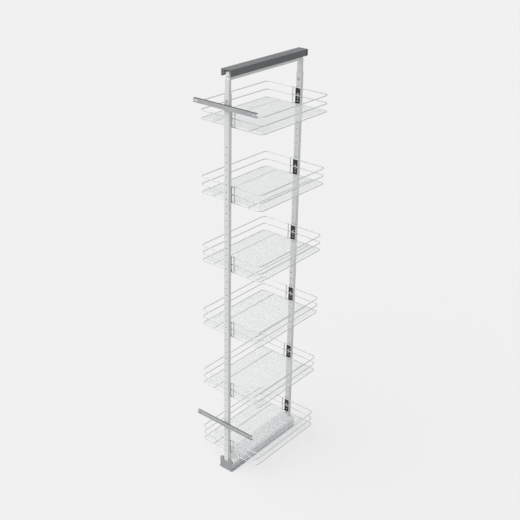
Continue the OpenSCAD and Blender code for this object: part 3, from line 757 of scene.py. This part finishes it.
def backdrop_rays(tree):
    """1 for rays that should see the backdrop's own tone, and 0 for rays that light things."""
    ray = add_node(tree, "ShaderNodeLightPath").outputs
    mirrored = calculate(tree, "MAXIMUM", ray["Is Glossy Ray"], ray["Is Transmission Ray"])
    return calculate(tree, "MAXIMUM", ray["Is Camera Ray"], mirrored)


def mix_shaders(tree, share, first, second):
    """A mix of two shaders."""
    return add_node(tree, "ShaderNodeMixShader", {0: share, 1: first, 2: second}).outputs["Shader"]


def pale_floor():
    """A diffuse floor material. What the camera sees of it is mostly the plain tone."""
    made, tree, shader, _ = start_material("pale floor")
    shader.inputs["Base Color"].default_value = linear(GROUND)
    shader.inputs["Roughness"].default_value = 1.0
    shader.inputs["Specular IOR Level"].default_value = 0.0
    tone = add_node(tree, "ShaderNodeEmission", {"Color": linear(GROUND), "Strength": 1.0})
    share = calculate(tree, "MULTIPLY", backdrop_rays(tree), 1 - SHADOW_KEPT)
    both = mix_shaders(tree, share, shader.outputs["BSDF"], tone.outputs["Emission"])
    output = next(n for n in tree.nodes if n.type == "OUTPUT_MATERIAL")
    tree.links.new(both, output.inputs["Surface"])
    return made


def studio_world():
    """A white dome that lights, and the plain tone where the camera or a mirror looks."""
    world = bpy.data.worlds.new("studio")
    world.use_nodes = True
    tree = world.node_tree
    tree.nodes.clear()
    dome = add_node(tree, "ShaderNodeBackground", {"Color": (1, 1, 1, 1), "Strength": DOME})
    tone = add_node(tree, "ShaderNodeBackground", {"Color": linear(GROUND), "Strength": 1.0})
    lit, seen = dome.outputs["Background"], tone.outputs["Background"]
    both = mix_shaders(tree, backdrop_rays(tree), lit, seen)
    add_node(tree, "ShaderNodeOutputWorld", {"Surface": both})
    return world


bpy.ops.mesh.primitive_plane_add(size=FLOOR_SIZE)
floor = bpy.context.object
floor.name = "floor"
floor.data.materials.append(pale_floor())
bpy.context.scene.world = studio_world()
print("dome strength", DOME, "and ground", GROUND)

# %% [markdown]
# ## Lamps
# In the photograph, faces that look up or at the door are bright, and those that look
# right are about a third darker. One big soft lamp, high and to the front left, does
# that. It is a sun with a wide disc, because a sun lights the foot of a tall unit just
# as much as its top, and the wide disc makes the shadows of the wires melt away.

# %% Lamps
LAMP_DISTANCE = 3  # where the sun's icon stands, which doesn't change its light


def soft_sun(name, direction, level, disc_degrees):
    """A sun in the given direction. A white face square to it renders at level."""
    lamp = bpy.data.lights.new(name, "SUN")
    lamp.energy = level * math.pi
    lamp.angle = math.radians(disc_degrees)
    stand = bpy.data.objects.new(name, lamp)
    stand.location = Vector(direction) * LAMP_DISTANCE
    stand.rotation_mode = "QUATERNION"
    stand.rotation_quaternion = Vector(direction).to_track_quat("Z", "Y")
    bpy.context.collection.objects.link(stand)
    return stand


soft_sun("key lamp", (-0.28, -0.48, 0.83), 0.73, 70)

# %% [markdown]
# ## The camera
# The camera was worked out from the photograph: the holes in the uprights are 32 mm
# apart, so their places in the picture give the camera's place, direction and lens.

# %% Camera
azimuth, elevation, roll = math.radians(39.066), math.radians(25.911), math.radians(1.092)
camera_place = (2.3121, -2.8624, 2.8068)
back = Vector(
    (
        math.sin(azimuth) * math.cos(elevation),
        -math.cos(azimuth) * math.cos(elevation),
        math.sin(elevation),
    )
)
right = Vector((math.cos(azimuth), math.sin(azimuth), 0))
up = back.cross(right)
turned_right = right * math.cos(roll) + up * math.sin(roll)
turned_up = up * math.cos(roll) - right * math.sin(roll)
camera = bpy.data.objects.new("camera", bpy.data.cameras.new("camera"))
bpy.context.collection.objects.link(camera)
axes = Matrix((turned_right, turned_up, back)).transposed().to_4x4()
camera.matrix_world = Matrix.Translation(camera_place) @ axes
camera.data.sensor_width = 36
camera.data.lens = 63.29
camera.data.clip_end = 100
bpy.context.scene.camera = camera
bpy.context.scene.view_settings.view_transform = "Standard"
print("camera at", [round(v, 3) for v in camera.location], "lens", camera.data.lens)
